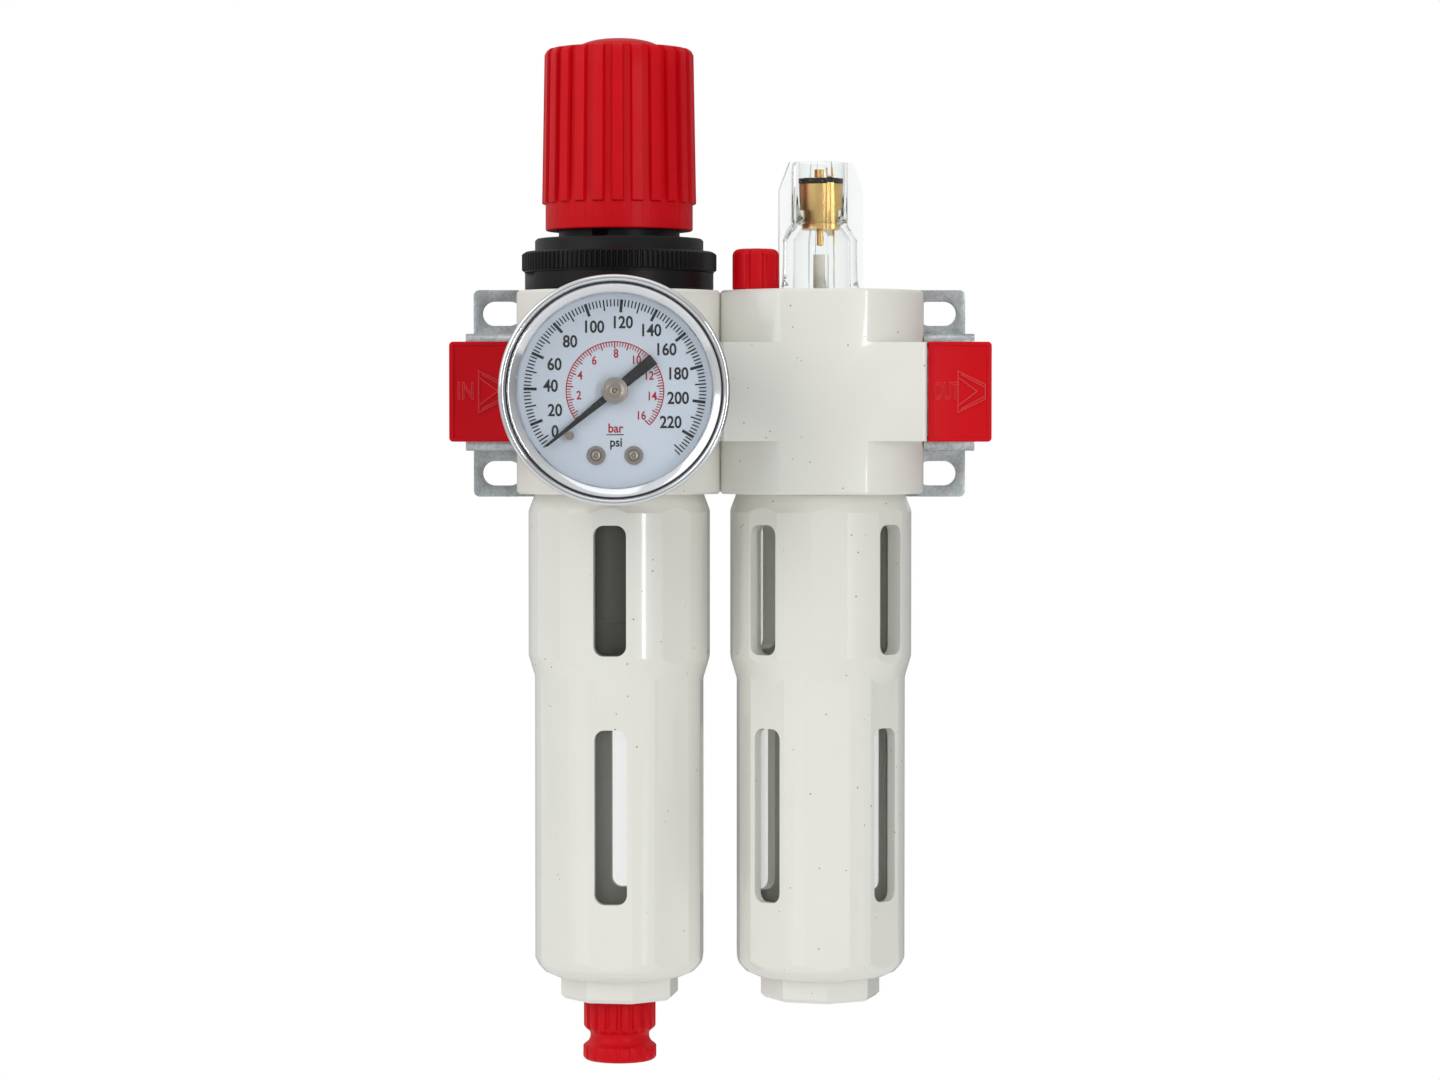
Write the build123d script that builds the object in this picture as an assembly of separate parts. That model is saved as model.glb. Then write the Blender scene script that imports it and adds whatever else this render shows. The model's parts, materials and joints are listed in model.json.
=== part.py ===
from build123d import *
import os
from math import cos, degrees, radians, sin

# Filter regulator lubricator: two 40 mm modules side by side, held between two end port blocks.
# Row frame, millimetres: +X runs from the inlet to the outlet, +Z is up, the wall is the plane Y = 0
# and everything stands in front of it at -Y. The origin is the centre of the four wall slots.
# Shapes of one module are made about its own bowl axis and then placed on that axis.

# ---------------------------------------------------------------- driving dimensions
UNIT = 40.0                        # side of the square module body
HALF = UNIT / 2
AXIS_Y = -22.0                     # bowl axes and flow axis, in front of the wall
REGULATOR_X = -HALF
LUBRICATOR_X = HALF
BAND_HALF = 9.6                    # half height of the full square band round a body
CORNER_R = 21.6                    # turned radius of a body above and below that band
FIT = 0.05                         # radial running fit

ROD_Y = 14.6                       # tie rods, from the flow axis
ROD_Z = 6.0
ROD_R = 1.5
ROD_HOLE_R = 1.6
NUT_AF = 5.5
NUT_H = 2.4

PORT_R = 5.72                      # G1/4 tapping radius
PORT_DEPTH = 10.0
FLOW_R = 5.0
GAUGE_PORT_R = 4.3                 # G1/8 tapping radius

BLOCK_L = 10.0                     # end block, along X
BLOCK_HALF_Z = 11.5
FLANGE_T = 3.5
LUG_HALF_Z = 21.0
LUG_T = 3.5
SLOT_X = 4.25                      # slot centre, from the module's side face
SLOT_Z = 16.25
SLOT_L = 8.05
SLOT_W = 5.0

COVER_L = 12.3
COVER_GAP = 0.3
COVER_HALF_Z = 9.7
COVER_FRONT = -19.0                # from the flow axis
COVER_BACK = -9.0
COVER_WALL = 0.9

NECK_R = 15.5                      # threaded neck at the top of a bowl guard
CAVITY_TOP = -10.0                 # roof of the bowl socket
GUARD_TOP_R = 18.1
GUARD_TOP_AF = 35.5                # the shallow flats, measured across the guard
GUARD_LOW_R = 16.95
GUARD_LOW_AF = 32.8
GUARD_BORE_R = 14.9
GUARD_END = -120.4
BOSS_AF = 22.0
WINDOW_W = 6.4
WINDOW_R = 2.0
UPPER_WINDOW = (-51.5, -26.0)
LOWER_WINDOW = (-100.2, -66.0)
FILTER_TURN = -5.0                 # how far each guard is screwed round, in degrees
LUBRICATOR_TURN = -41.3
FILTER_BOSS_TURN = 35.5            # a flat of each octagonal wrench boss
LUBRICATOR_BOSS_TURN = 27.5
BOWL_R = 14.5
BOWL_WALL = 1.7
BOWL_END = -112.5

KNOB_BASE = 32.0
KNOB_TOP = 67.9
KNOB_RIBS = 24
KNURLS = 112
COLLAR_R = 16.7
COLLAR_TOP = 30.4
NECK_TUBE_R = 12.0
BONNET_TOP = 47.0
SPINDLE_R = 3.0
HEX_AF = 5.0

GAUGE_Z = 0.0
DIAL_FRONT = 20.0                  # depths of the gauge, from the body's front face
REST_ANGLE = -129.0                # pointer at rest, clockwise from twelve o'clock
GEAR_MODULE = 0.16
PINION_TEETH = 12
WHEEL_TEETH = 96
SECTOR_TEETH = 13
PINION_TEETH_Z = (14.6, 15.8)

DOME_TURN = 12.0
FIN_SPAN = 17.1
FIN_T = 1.4

os.makedirs("parts", exist_ok=True)


# ---------------------------------------------------------------- helpers
def save(name, shape):
    """Write one piece to parts/NAME.step."""
    shape.label = name
    export_step(shape, f"parts/{name}.step")


def lathe(*points):
    """Solid of revolution about Z from (radius, height) corners."""
    outline = Polyline(*[(r, 0, z) for r, z in points], close=True)
    return revolve(make_face(outline), Axis.Z)


def rod(r, z0, z1, x=0.0, y=0.0):
    """Cylinder along Z."""
    return Pos(x, y, (z0 + z1) / 2) * Cylinder(r, z1 - z0)


def rod_x(r, x0, x1, y=0.0, z=0.0):
    """Cylinder along X."""
    return Pos((x0 + x1) / 2, y, z) * Rot(0, 90, 0) * Cylinder(r, x1 - x0)


def rod_y(r, y0, y1, x=0.0, z=0.0):
    """Cylinder along Y."""
    return Pos(x, (y0 + y1) / 2, z) * Rot(90, 0, 0) * Cylinder(r, y1 - y0)


def tube(r_out, r_in, z0, z1):
    """Plain tube about Z."""
    return rod(r_out, z0, z1) - rod(r_in, z0 - 1, z1 + 1)


def block(x0, x1, y0, y1, z0, z1):
    """Box from its six faces."""
    return Pos((x0 + x1) / 2, (y0 + y1) / 2, (z0 + z1) / 2) * Box(x1 - x0, y1 - y0, z1 - z0)


def prism(sides, flats, z0, z1, turn=0.0):
    """Regular prism about Z, given across flats, with a flat facing `turn` degrees."""
    face = Pos(0, 0, z0) * RegularPolygon(flats / 2, sides, major_radius=False, rotation=turn - 180 / sides)
    return extrude(face, z1 - z0)


def ring(major, minor, z):
    """O-ring about Z."""
    return Pos(0, 0, z) * Torus(major, minor)


def around(shape, count, first=0.0):
    """Copies of a shape spread evenly about Z."""
    return [Rot(0, 0, first + 360.0 * i / count) * shape for i in range(count)]


def coil(radius, wire, z0, z1, turns):
    """Compression spring about Z with closed rings at both ends."""
    low = z0 + wire
    high = z1 - wire
    path = Helix(pitch=(high - low) / turns, height=high - low, radius=radius, center=(0, 0, low))
    section = Plane(origin=path @ 0, z_dir=path % 0) * Circle(wire)
    return sweep(section, path=path, is_frenet=True)


def on_module(x, shape):
    """Place a shape that was made about a bowl axis."""
    return Pos(x, AXIS_Y, 0) * shape


def rod_holes(x0, x1):
    """Four clearance holes for the tie rods."""
    return [rod_x(ROD_HOLE_R, x0, x1, y, z) for y in (-ROD_Y, ROD_Y) for z in (-ROD_Z, ROD_Z)]


# ---------------------------------------------------------------- module bodies
def module_blank():
    """Square body, turned above and below a full square band, with a bowl socket underneath."""
    turned = Box(UNIT, UNIT, UNIT) & Cylinder(CORNER_R, UNIT)
    turned = chamfer(turned.faces().filter_by(Axis.Z).edges(), 0.5)
    band = fillet(Box(UNIT, UNIT, 2 * BAND_HALF).edges().filter_by(Axis.Z), 0.8)
    body = turned + band
    body -= rod(NECK_R + FIT, -HALF - 1, CAVITY_TOP)
    body -= rod(12.0, CAVITY_TOP - 1, CAVITY_TOP + 1.5)
    body -= tube(14.7, 12.9, CAVITY_TOP - 1, CAVITY_TOP + 1.0)
    for hole in rod_holes(-HALF - 1, HALF + 1):
        body -= hole
    return body


def seal_groove(side):
    """Face groove for a port O-ring on one side face."""
    groove = tube(7.7, 5.9, -1.3, 1.0)
    return Pos(side * HALF, 0, 0) * Rot(0, 90 * side, 0) * groove


def regulator_body():
    body = module_blank()
    # inlet, down into the bowl through two ports
    body -= rod_x(FLOW_R, -HALF - 1, -8.0)
    for y in (-2.9, 2.9):
        body -= rod(1.7, CAVITY_TOP - 1, 0.0, -10.2, y)
    # filtered air up through the centre to the valve
    body -= rod(5.2, CAVITY_TOP - 1, 5.0)
    body -= rod(5.9, 5.0, 12.0)
    # regulated air: diaphragm chamber, outlet and the two gauge ports
    body -= rod(15.0, 11.5, 15.3)
    body -= rod(15.5, 15.2, HALF + 1)
    body -= rod_x(FLOW_R, 8.0, HALF + 1)
    body -= rod(2.4, 0.0, 12.0, 11.0, 0.0)
    body -= rod_y(GAUGE_PORT_R, -HALF - 1, -9.5)
    body -= rod_y(GAUGE_PORT_R, 9.5, HALF + 1)
    for y in (-11.2, 11.2):
        body -= rod(1.2, 0.0, 12.0, 0.0, y)
    body -= seal_groove(1)
    return body


def lubricator_body():
    body = module_blank()
    body -= rod_x(FLOW_R, -HALF - 1, HALF + 1)
    # sight dome socket and the drip hole below it
    body -= rod(7.0, 13.0, HALF + 1)
    body -= rod(1.6, 0.0, 14.0)
    # oil rises from the bowl behind the flow bore
    body -= rod(1.65, CAVITY_TOP - 1, -4.0, 0.0, 8.0)
    body -= rod(1.0, -4.5, 9.0, 0.0, 8.0)
    body -= rod(1.65, 8.5, 15.0, 0.0, 8.0)
    # filler hole, then a narrow way down into the bowl
    body -= rod(3.35, 12.0, HALF + 1, -13.0, -8.0)
    body -= rod(1.4, CAVITY_TOP + 1.0, 13.0, -11.6, -7.6)
    body -= block(-12.2, -6.0, -8.6, -6.4, CAVITY_TOP - 1.0, CAVITY_TOP + 2.0)
    return body


# ---------------------------------------------------------------- end blocks, tie rods, covers
def end_block():
    """Outlet end block about the flow axis, with its inner face at x = 0."""
    body = block(0, FLANGE_T, -17.8, 18.5, -8.6, 8.6)
    boss = block(0, BLOCK_L, -8.7, 18.6, -BLOCK_HALF_Z, BLOCK_HALF_Z)
    body += fillet(boss.edges().filter_by(Axis.X), 1.5)
    lug = block(0, BLOCK_L, HALF + 2 - LUG_T, HALF + 2, -LUG_HALF_Z, LUG_HALF_Z)
    lug = fillet(lug.edges().filter_by(Axis.Y), 1.2)
    body += lug
    body += block(-4.0, 3.0, HALF + 0.25, HALF + 2, -LUG_HALF_Z, LUG_HALF_Z)
    body -= rod_x(PORT_R, BLOCK_L - PORT_DEPTH, BLOCK_L + 1)
    body -= rod_x(PORT_R + 0.8, BLOCK_L - 0.8, BLOCK_L + 1)
    for hole in rod_holes(-1, BLOCK_L + 1):
        body -= hole
    for z in (-ROD_Z, ROD_Z):
        body -= rod_x(3.4, FLANGE_T, BLOCK_L + 1, ROD_Y, z)
    for z in (-SLOT_Z, SLOT_Z):
        slot = Plane.XZ * Pos(SLOT_X, z) * SlotOverall(SLOT_L, SLOT_W)
        body -= Pos(0, HALF, 0) * extrude(slot, 10.0, both=True)
    return body


def cover():
    """Snap cover for the front half of an end block, with a raised border on its face."""
    depth = COVER_BACK - COVER_FRONT
    mid_y = (COVER_BACK + COVER_FRONT) / 2
    mid_x = COVER_GAP + COVER_L / 2
    shell = Pos(mid_x, mid_y, 0) * Box(COVER_L, depth, 2 * COVER_HALF_Z)
    outer_edges = shell.edges().filter_by(Axis.Y).sort_by(Axis.X)[-2:]
    shell = fillet(outer_edges, 0.8)
    shell -= block(
        -1, COVER_GAP + COVER_L - COVER_WALL,
        COVER_FRONT + COVER_WALL, COVER_BACK + 1,
        -COVER_HALF_Z + COVER_WALL, COVER_HALF_Z - COVER_WALL,
    )
    field = block(
        COVER_GAP + 0.9, COVER_GAP + COVER_L - 0.9,
        COVER_FRONT - 1, COVER_FRONT + 0.25,
        -COVER_HALF_Z + 0.7, COVER_HALF_Z - 0.7,
    )
    return shell - field


def to_inlet(shape):
    """Mirror an outlet-side shape to the inlet side."""
    return mirror(shape, about=Plane.YZ)


def place_ends(shape):
    """The outlet copy and the inlet copy of an end piece."""
    outlet = Pos(UNIT, AXIS_Y, 0) * shape
    return outlet, to_inlet(outlet)


def ends():
    outlet, inlet = place_ends(end_block() - Rot(0, 90, 0) * tube(7.7, 5.9, -1.0, 1.2))
    save("outlet_port_block", outlet)
    save("inlet_port_block", inlet)
    outlet, inlet = place_ends(cover())
    save("outlet_cover", outlet)
    save("inlet_cover", inlet)
    reach = UNIT + FLANGE_T + NUT_H + 0.6
    corners = [(y, z) for y in (-ROD_Y, ROD_Y) for z in (-ROD_Z, ROD_Z)]
    save("tie_rods", Compound([rod_x(ROD_R, -reach, reach, AXIS_Y + y, z) for y, z in corners]))
    nuts = []
    for y, z in corners:
        for side in (-1, 1):
            nut = prism(6, NUT_AF, 0, NUT_H, 0) - rod(ROD_R, -1, NUT_H + 1)
            nuts.append(Pos(side * (UNIT + FLANGE_T), AXIS_Y + y, z) * Rot(0, 90 * side, 0) * nut)
    save("tie_rod_nuts", Compound(nuts))
    seal = Rot(0, 90, 0) * ring(6.8, 0.6, 0)
    faces = (-UNIT - 0.6, -0.65, UNIT + 0.6)
    save("port_seals", Compound([Pos(x, AXIS_Y, 0) * seal for x in faces]))


# ---------------------------------------------------------------- bowls and guards
def guard(turn, boss_turn, hole_r):
    """Metal bowl guard: eight shallow flats, two rows of windows and an octagonal wrench boss."""
    upper = lathe(
        (0, -20.1), (16.8, -20.1), (GUARD_TOP_R, -23.6), (GUARD_TOP_R, -52.0), (16.3, -58.0), (0, -58.0),
    )
    lower = lathe(
        (0, -50), (GUARD_LOW_R, -50), (GUARD_LOW_R, -112.0), (16.2, -113.6), (15.0, -114.9),
        (13.2, -115.7), (0, -115.7),
    )
    outer = upper & prism(8, GUARD_TOP_AF, -60, -20, turn)
    outer += lower & prism(8, GUARD_LOW_AF, -116, -49, turn)
    boss = prism(8, BOSS_AF, GUARD_END, -115, boss_turn)
    boss = chamfer(boss.faces().sort_by(Axis.Z)[0].edges(), 0.8)
    body = outer + boss + rod(NECK_R, -20.5, -12.4)
    body -= lathe((0, -10), (14.75, -10), (14.75, -22), (GUARD_BORE_R, -23), (GUARD_BORE_R, -110.5),
                  (12.4, -113.6), (0, -113.6))
    body -= rod(8.6, GUARD_END + 2.2, -112)
    if hole_r:
        body -= rod(hole_r, GUARD_END - 1, -112)
    for low, high in (UPPER_WINDOW, LOWER_WINDOW):
        pane = Plane.XZ * Pos(0, (low + high) / 2) * RectangleRounded(WINDOW_W, high - low, WINDOW_R)
        bar = extrude(pane, 25, both=True)
        body -= Rot(0, 0, turn) * bar
        body -= Rot(0, 0, turn + 90) * bar
    return body


def bowl(boss_r, bore_r):
    """Clear bowl: flange, straight wall, domed end and, on the filter side, a bored drain boss."""
    inner = BOWL_R - BOWL_WALL
    body = lathe(
        (0, -10.9), (15.2, -10.9), (15.2, -12.3), (BOWL_R, -12.3), (BOWL_R, -108.0),
        (13.4, -110.6), (11.0, -112.0), (8.0, BOWL_END), (0, BOWL_END),
    )
    if boss_r:
        body += rod(boss_r, GUARD_END + 0.4, BOWL_END + 1)
    body -= lathe(
        (0, 0), (inner, 0), (inner, -107.2), (11.6, -109.4), (9.0, -110.4), (0, -110.8),
    )
    if bore_r:
        body -= rod(bore_r, GUARD_END - 1, -113.2)
        body -= rod(1.6, -114, -105)
    return body


def bowls():
    save("filter_guard", on_module(REGULATOR_X, guard(FILTER_TURN, FILTER_BOSS_TURN, 5.8)))
    save("filter_bowl", on_module(REGULATOR_X, bowl(5.3, 3.05)))
    save("lubricator_guard", on_module(LUBRICATOR_X, guard(LUBRICATOR_TURN, LUBRICATOR_BOSS_TURN, 0)))
    save("lubricator_bowl", on_module(LUBRICATOR_X, bowl(0, 0)))
    seal = ring(13.8, 0.75, CAVITY_TOP)
    save("bowl_seals", Compound([on_module(x, seal) for x in (REGULATOR_X, LUBRICATOR_X)]))


def drain():
    """Drain at the foot of the filter bowl: knob, threaded stem and tip seal."""
    knob = lathe(
        (0, -120.6), (6.9, -120.6), (7.15, -121.0), (7.15, -126.2), (6.6, -126.7), (6.0, -127.1),
        (5.85, -127.8), (6.1, -128.8), (6.8, -129.6), (7.3, -130.0), (7.3, -132.2), (6.8, -132.8),
        (0, -132.8),
    )
    for groove in around(rod(0.5, -127.2, -120.0, 7.35), 18):
        knob -= groove
    knob -= rod(SPINDLE_R, -130.3, -120)
    knob -= rod(1.6, -133, -130)
    save("drain_knob", on_module(REGULATOR_X, knob))
    stem = rod(SPINDLE_R, -130.3, -114.3)
    stem -= rod(1.2, -131, -115.5)
    stem -= rod_x(0.9, -4, 4, 0, -116.0)
    save("drain_stem", on_module(REGULATOR_X, stem))
    save("drain_tip_seal", on_module(REGULATOR_X, rod(2.9, -114.3, -113.25)))


# ---------------------------------------------------------------- filter parts
def filter_parts():
    deflector = tube(11.8, 6.0, -13.6, -9.2)
    for slot in around(Pos(9.2, 0, -11.4) * Rot(35, 0, 0) * Box(3.4, 1.3, 8), 12):
        deflector -= slot
    save("air_deflector", on_module(REGULATOR_X, deflector))

    element = tube(8.2, 5.6, -43.0, -14.0)
    save("filter_element", on_module(REGULATOR_X, element))

    shroud = lathe(
        (0, -43.2), (8.0, -43.2), (10.6, -43.2), (10.6, -13.8), (11.7, -13.8), (11.7, -44.8),
        (9.8, -45.6), (9.8, -51.0), (8.8, -51.8), (0, -51.8),
    )
    shroud -= rod(2.1, -60, -40)
    shroud -= tube(8.2, 4.6, -53, -46.4)
    for slot in around(Pos(11, 0, -38.0) * Box(4, 2.4, 8.0), 6):
        shroud -= slot
    save("filter_shroud", on_module(REGULATOR_X, shroud))

    bolt = rod(2.0, -53.2, -13.8) + prism(6, 7.0, -55.4, -51.9)
    save("filter_bolt", on_module(REGULATOR_X, bolt))

    guide = rod(5.15, -12.0, -8.0) + rod(5.95, -13.7, -12.0) - rod(1.55, -10.5, -7)
    for port in around(rod(1.0, -14, -7, 3.6), 6):
        guide -= port
    save("valve_guide", on_module(REGULATOR_X, guide))


# ---------------------------------------------------------------- regulator parts
def regulator_parts():
    seat = tube(5.85, 3.2, 5.0, 8.0)
    save("valve_seat", on_module(REGULATOR_X, seat))
    poppet = rod(1.5, -9.4, 3.0) + rod(4.5, 3.0, 4.9) + rod(1.0, 4.9, 13.2)
    save("valve_poppet", on_module(REGULATOR_X, poppet))
    save("valve_spring", on_module(REGULATOR_X, coil(3.0, 0.35, -7.9, 2.9, 6)))

    diaphragm = lathe(
        (1.55, 15.3), (9.6, 15.3), (10.6, 14.5), (12.0, 14.5), (13.0, 15.3), (15.4, 15.3),
        (15.4, 16.4), (12.8, 16.4), (11.8, 15.6), (10.8, 15.6), (10.0, 16.4), (1.55, 16.4),
    )
    save("diaphragm", on_module(REGULATOR_X, diaphragm))
    plate = lathe(
        (0, 13.3), (3.0, 13.3), (3.0, 15.25), (1.5, 15.25), (1.5, 16.45), (9.5, 16.45),
        (9.5, 17.6), (5.5, 17.6), (5.0, 19.0), (0, 19.0),
    )
    save("diaphragm_plate", on_module(REGULATOR_X, plate))
    save("range_spring", on_module(REGULATOR_X, coil(7.6, 1.1, 17.7, 36.9, 6)))

    nut = rod(9.7, 37.0, 40.5) + Pos(0, 0, 38.75) * Box(21.4, 2.2, 3.5) - rod(SPINDLE_R + FIT, 36, 42)
    save("spring_nut", on_module(REGULATOR_X, nut))

    spindle = rod(SPINDLE_R, 31.0, 42.6) + rod(5.4, 42.4, 43.9) + rod(SPINDLE_R, 43.8, 47.4)
    spindle += prism(6, HEX_AF, 47.3, 62.0)
    save("knob_spindle", on_module(REGULATOR_X, spindle))


def bonnet():
    body = lathe(
        (0, 16.5), (15.4, 16.5), (15.4, 20.05), (18.3, 20.05), (18.7, 20.5), (18.7, 23.6),
        (COLLAR_R, 23.6), (COLLAR_R, COLLAR_TOP - 0.4), (COLLAR_R - 0.4, COLLAR_TOP),
        (NECK_TUBE_R, COLLAR_TOP), (NECK_TUBE_R, BONNET_TOP - 1), (NECK_TUBE_R - 1, BONNET_TOP),
        (0, BONNET_TOP),
    )
    body -= lathe((0, 16), (12.6, 16), (12.6, 28.0), (9.9, 31.0), (9.9, 44.0), (0, 44.0))
    body -= rod(SPINDLE_R + FIT, 43, BONNET_TOP + 1)
    body -= Pos(0, 0, 36.0) * Box(22.0, 2.5, 15.9)
    body -= Pos(0, 14.5, 19.2) * Rot(90, 0, 0) * Cylinder(0.6, 12)
    return body


def panel_nut():
    body = tube(18.8, COLLAR_R + FIT, 23.7, 27.8)
    knurl = Pos(18.845, 0, 25.75) * Rot(0, 0, 45) * Box(0.66, 0.66, 3.4)
    for tooth in around(knurl, KNURLS):
        body += tooth
    return body


def knob():
    body = lathe(
        (0, KNOB_BASE), (14.3, KNOB_BASE), (14.6, KNOB_BASE + 0.3), (14.6, 37.3), (15.3, 37.3),
        (14.7, 66.9), (13.9, KNOB_TOP), (8.8, KNOB_TOP), (8.4, 68.3), (6.4, 69.3), (3.6, 69.9), (0, 70.1),
    )
    groove = Pos(15.35, 0, (37.3 + 70) / 2) * Box(2.8, 1.75, 70 - 37.3)
    for cut in around(groove, KNOB_RIBS):
        body -= cut
    body -= rod(NECK_TUBE_R + 0.6, KNOB_BASE - 1, 64.0)
    hub = rod(4.6, 49.0, 65.0)
    body += hub
    body -= prism(6, HEX_AF + 0.16, 48, 63.8)
    return body


# ---------------------------------------------------------------- pressure gauge
def gauge_place(shape):
    """Gauge shapes are made about Z with the dial facing +Z, then turned to face -Y."""
    return Pos(REGULATOR_X, AXIS_Y - HALF, GAUGE_Z) * Rot(90, 0, 0) * shape


def toothed(teeth, first, count, rim, root):
    """Corners of straight-sided teeth on a root circle, at angles of first + n pitches."""
    pitch = 360.0 / teeth
    outline = []
    for n in range(count):
        for part, r in ((-0.27, root), (-0.09, rim), (0.09, rim), (0.27, root)):
            angle = radians(first + (n + part) * pitch)
            outline.append((r * cos(angle), r * sin(angle)))
    return outline


def gauge():
    socket = rod(4.2, -8.8, 0.2) + prism(4, 11.0, 0.05, 3.6) + block(-4, 4, -7.5, 4.5, 4.4, 11.0)
    socket += rod(4.0, 3.5, 4.5)
    socket -= rod(1.2, -10, 8.0)
    save("gauge_socket", gauge_place(socket))

    case = lathe(
        (0, 3.6), (18.6, 3.6), (20.3, 5.2), (20.3, 19.0), (19.4, 19.0), (19.4, 5.6), (18.4, 4.4), (0, 4.4),
    )
    case -= rod(4.02, 3, 5)
    save("gauge_case", gauge_place(case))

    bezel = lathe(
        (20.35, 15.5), (21.4, 15.5), (21.7, 16.0), (21.7, 26.0), (21.6, 26.7), (21.3, 27.3), (21.0, 27.5),
        (20.7, 27.4), (20.45, 27.1), (20.35, 26.7),
    )
    save("gauge_bezel", gauge_place(bezel))
    inner = lathe(
        (18.2, 20.05), (19.3, 20.05), (20.3, 21.6), (20.3, 24.6), (20.0, 24.6), (18.35, 23.5),
        (18.2, 23.2),
    )
    save("gauge_inner_ring", gauge_place(inner))
    save("gauge_lens", gauge_place(rod(20.3, 24.65, 25.7)))

    screw_at = ((-3.55, -12.2), (3.55, -12.2))
    dial = rod(19.2, DIAL_FRONT - 0.5, DIAL_FRONT) - rod(1.6, 19, 21)
    for x, y in screw_at:
        dial -= rod(0.8, 19, 21, x, y)
    save("gauge_dial", gauge_place(dial))
    screws = []
    for x, y in screw_at:
        head = rod(1.75, 0.0, 0.35) + rod(1.15, 0.3, 0.75) + rod(0.75, -2.8, 0.1)
        screws.append(Pos(x, y, DIAL_FRONT) * (head - Pos(0, 0, 0.75) * Box(2.6, 0.3, 0.4)))
    save("gauge_dial_screws", gauge_place(Compound(screws)))
    pin_angle = radians(REST_ANGLE - 6.1)
    pin = rod(0.8, DIAL_FRONT, DIAL_FRONT + 1.7, 12.0 * sin(pin_angle), 12.0 * cos(pin_angle))
    save("gauge_stop_pin", gauge_place(pin))

    arc = Pos(0, 0, 8.4) * CenterArc((0, 0), 14.0, -80, 255)
    curved = sweep(Plane(origin=arc @ 0, x_dir=(0, 0, 1), z_dir=arc % 0) * Ellipse(2.6, 1.0), path=arc)
    foot = block(0.6, 3.9, -13.2, -7.5, 6.2, 10.6)
    save("bourdon_tube", gauge_place(curved + foot))
    gauge_movement()


def gauge_movement():
    """Movement: frame, sector wheel and the pinion that carries the pointer."""
    centre = GEAR_MODULE * (PINION_TEETH + WHEEL_TEETH) / 2
    low, high = PINION_TEETH_Z
    frame = block(-4.0, 4.0, -6.5, 11.2, 12.6, 13.4) + block(-4.8, 4.8, -13.8, 11.2, 17.0, 17.8)
    for x, y in ((-3.2, -5.4), (3.2, -5.4)):
        frame += rod(0.9, 11.0, 17.4, x, y)
    for y in (0.0, centre):
        frame -= rod(0.75 + FIT, 12, 18.5, 0, y)
    for x in (-3.55, 3.55):
        frame -= rod(0.8, 16, 19, x, -12.2)
    save("gauge_movement_frame", gauge_place(frame))

    pinion_pitch_r = GEAR_MODULE * PINION_TEETH / 2
    outline = toothed(PINION_TEETH, 90.0, PINION_TEETH, pinion_pitch_r + 0.12, pinion_pitch_r - 0.16)
    pinion = extrude(Pos(0, 0, low) * make_face(Polyline(*outline, close=True)), high - low)
    shaft = rod(0.75, 12.2, 21.9) + pinion
    save("pointer_shaft", gauge_place(shaft))

    wheel_pitch_r = GEAR_MODULE * WHEEL_TEETH / 2
    pitch = 360.0 / WHEEL_TEETH
    # the sector hangs from its pivot towards the pinion, with a tooth space on the line of centres
    first = -90.0 + 0.5 * pitch - (SECTOR_TEETH - 2) * pitch
    outline = toothed(WHEEL_TEETH, first, SECTOR_TEETH, wheel_pitch_r + 0.12, wheel_pitch_r - 0.16)
    rim = make_face(Polyline(*outline, (0.0, 0.0), close=True))
    sector = extrude(Pos(0, 0, low + 0.2) * rim, high - low - 0.4)
    arms = rod(wheel_pitch_r - 1.2, low - 1, high + 1) - rod(2.0, low - 2, high + 2)
    sector = sector - arms + rod(1.6, low + 0.2, high - 0.2)
    spoke = radians(first + 0.5 * (SECTOR_TEETH - 1) * pitch)
    bar = Rot(0, 0, degrees(spoke)) * block(1.0, wheel_pitch_r - 0.8, -0.7, 0.7, low + 0.2, high - 0.2)
    sector = sector + bar + rod(0.75, 12.8, 17.6)
    save("gauge_sector", gauge_place(Pos(0, centre, 0) * sector))

    blade = make_face(Polyline(
        (0.8, 0.0), (0.22, 16.5), (0.0, 16.8), (-0.22, 16.5), (-0.8, 0.0), (-1.0, -3.0), (-1.15, -9.4),
        (1.15, -9.4), (1.0, -3.0), close=True,
    ))
    pointer = extrude(Pos(0, 0, 20.9) * blade, 0.35) + rod(1.5, 20.9, 21.25) - rod(0.75, 20, 22)
    pointer = Rot(0, 0, -REST_ANGLE) * pointer
    save("gauge_pointer", gauge_place(pointer))
    hub = rod(2.5, 21.27, 22.1) + rod(1.5, 22.0, 22.4) - rod(0.75, 21, 21.95)
    save("gauge_pointer_hub", gauge_place(hub))


def rear_plug():
    """Blanking plug in the rear gauge port."""
    plug = rod(4.25, 0.0, 8.5) - Pos(0, 0, 8.6) * prism(6, 5.0, -3.0, 0.1)
    shape = Pos(0, HALF - 9.0, 0) * Rot(-90, 0, 0) * plug
    save("rear_gauge_plug", on_module(REGULATOR_X, shape))


# ---------------------------------------------------------------- lubricator parts
def sight_dome():
    """Clear dome: finned grip, a bore for the feed valve and a hollow where the drops are seen."""
    body = lathe(
        (0, 15.0), (6.9, 15.0), (6.9, 20.2), (7.8, 20.2), (7.3, 22.4), (7.2, 30.2), (5.35, 33.2),
        (5.35, 45.5), (0, 45.5),
    )
    half = FIN_SPAN / 2
    outline = Polyline(
        (-half, 20.3), (half, 20.3), (half, 40.0), (6.4, 45.6), (-6.4, 45.6), (-half, 40.0), close=True,
    )
    fin = extrude(Plane.XZ * make_face(outline), FIN_T / 2, both=True)
    body = body + fin + Rot(0, 0, 90) * fin
    body -= rod(4.5, 33.4, 46)
    body -= lathe((0, 14), (5.6, 14), (5.6, 30.0), (3.9, 32.6), (3.9, 34), (0, 34))
    return Rot(0, 0, DOME_TURN) * body


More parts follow.
